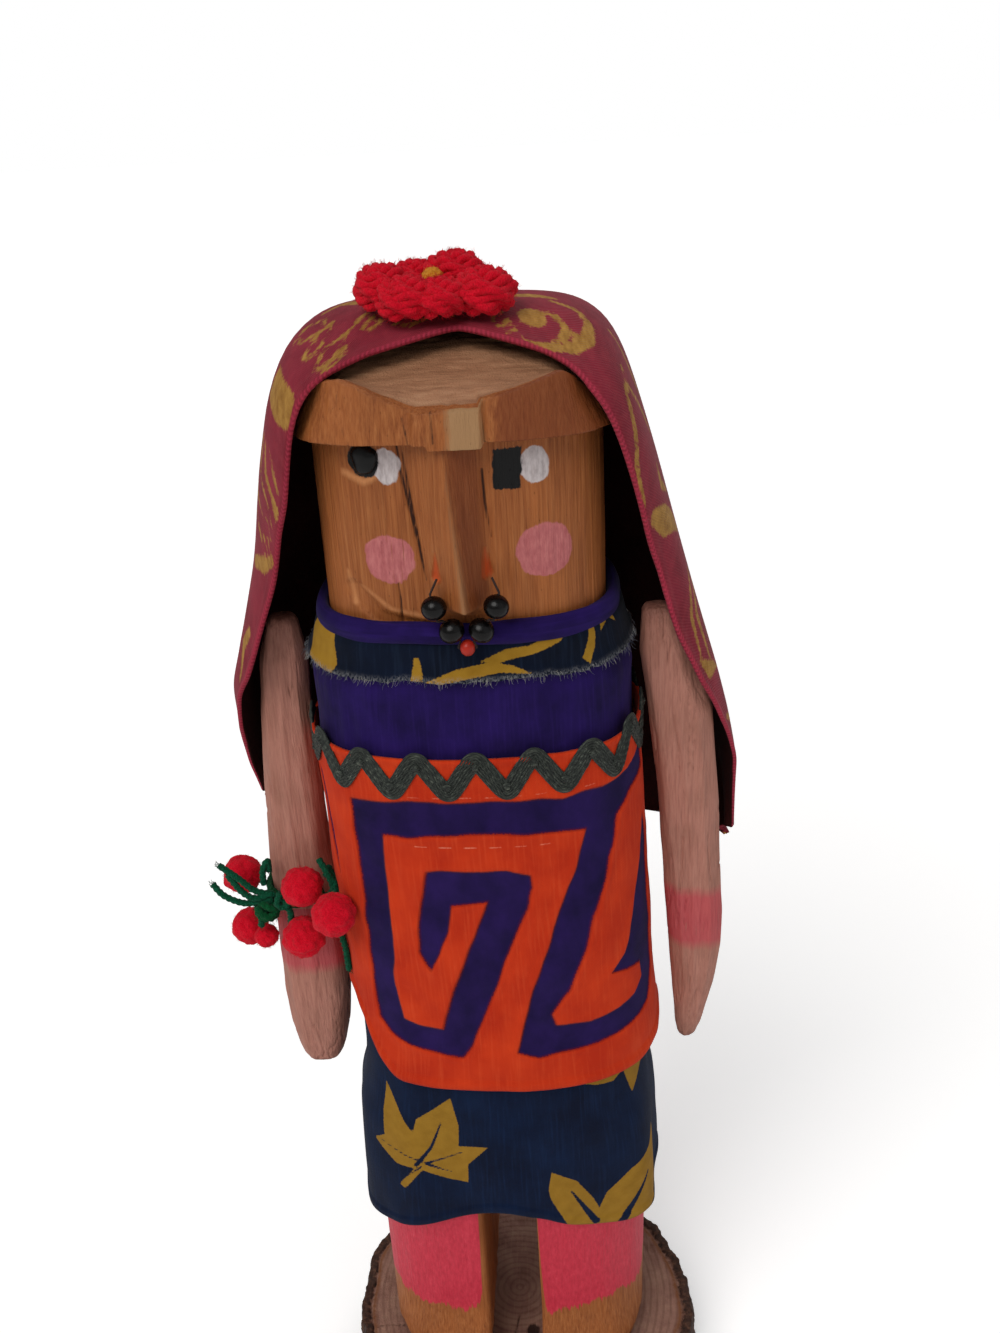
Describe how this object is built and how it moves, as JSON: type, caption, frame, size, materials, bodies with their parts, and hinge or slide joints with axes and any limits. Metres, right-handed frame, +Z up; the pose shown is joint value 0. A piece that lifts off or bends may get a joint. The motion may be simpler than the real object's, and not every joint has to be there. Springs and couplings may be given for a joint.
{
  "type": "wooden folk doll",
  "caption": "Carved wooden folk doll in sewn and applique cloth with a headscarf, standing on a round slice of branch.",
  "frame": {"origin": "on the flat underside of the slice of branch, on the doll's own upright axis", "axes": "+Z up; the doll faces -Y; +X to its left hand"},
  "size_m": [0.1287, 0.0991, 0.323],
  "materials": {
    "slice_wood": "sawn and dusty, with rough dark bark round the rim",
    "carved_wood": "oiled light brown wood with knife facets; coral leg paint, pink cheeks, black and white eyes",
    "painted_wood": "whittled sticks under thin dusty pink paint, a coral band at each wrist",
    "leaf_cotton": "navy cotton printed with mustard leaves",
    "indigo_cotton": "plain indigo cotton",
    "orange_cotton": "orange cotton cut and sewn over indigo as a maze",
    "collar_cotton": "navy cotton with a mustard print and a frayed lower edge",
    "rickrack_braid": "dark grey-green zigzag braid",
    "scarf_cotton": "crimson twill printed with mustard swirls",
    "red_yarn": "fluffy bright red yarn",
    "yellow_yarn": "yellow crochet yarn",
    "green_yarn": "bright green yarn with lighter ends",
    "dark_bead": "nearly black, highly polished",
    "red_bead": "glossy red",
    "thread": "dark sewing thread"
  },
  "bodies": {
    "root": {"wood_slice_base": "slice_wood", "carved_body": "carved_wood", "arm_right": "painted_wood", "arm_left": "painted_wood", "skirt": "leaf_cotton", "blouse": "indigo_cotton", "mola_panel": "orange_cotton", "collar_band": "collar_cotton", "neck_binding": "indigo_cotton", "rickrack_trim": "rickrack_braid", "headscarf": "scarf_cotton", "flower_petals": "red_yarn", "flower_centre": "yellow_yarn", "nose_thread": "thread", "nose_bead_1": "dark_bead", "nose_bead_2": "dark_bead", "nose_bead_3": "red_bead", "nose_bead_4": "dark_bead", "nose_bead_5": "dark_bead", "bracelet_yarn": "green_yarn", "yarn_knot": "green_yarn", "pompom_1": "red_yarn", "pompom_2": "red_yarn", "pompom_3": "red_yarn", "pompom_4": "red_yarn", "pompom_5": "red_yarn", "pompom_6": "red_yarn"}
  },
  "joints": []
}
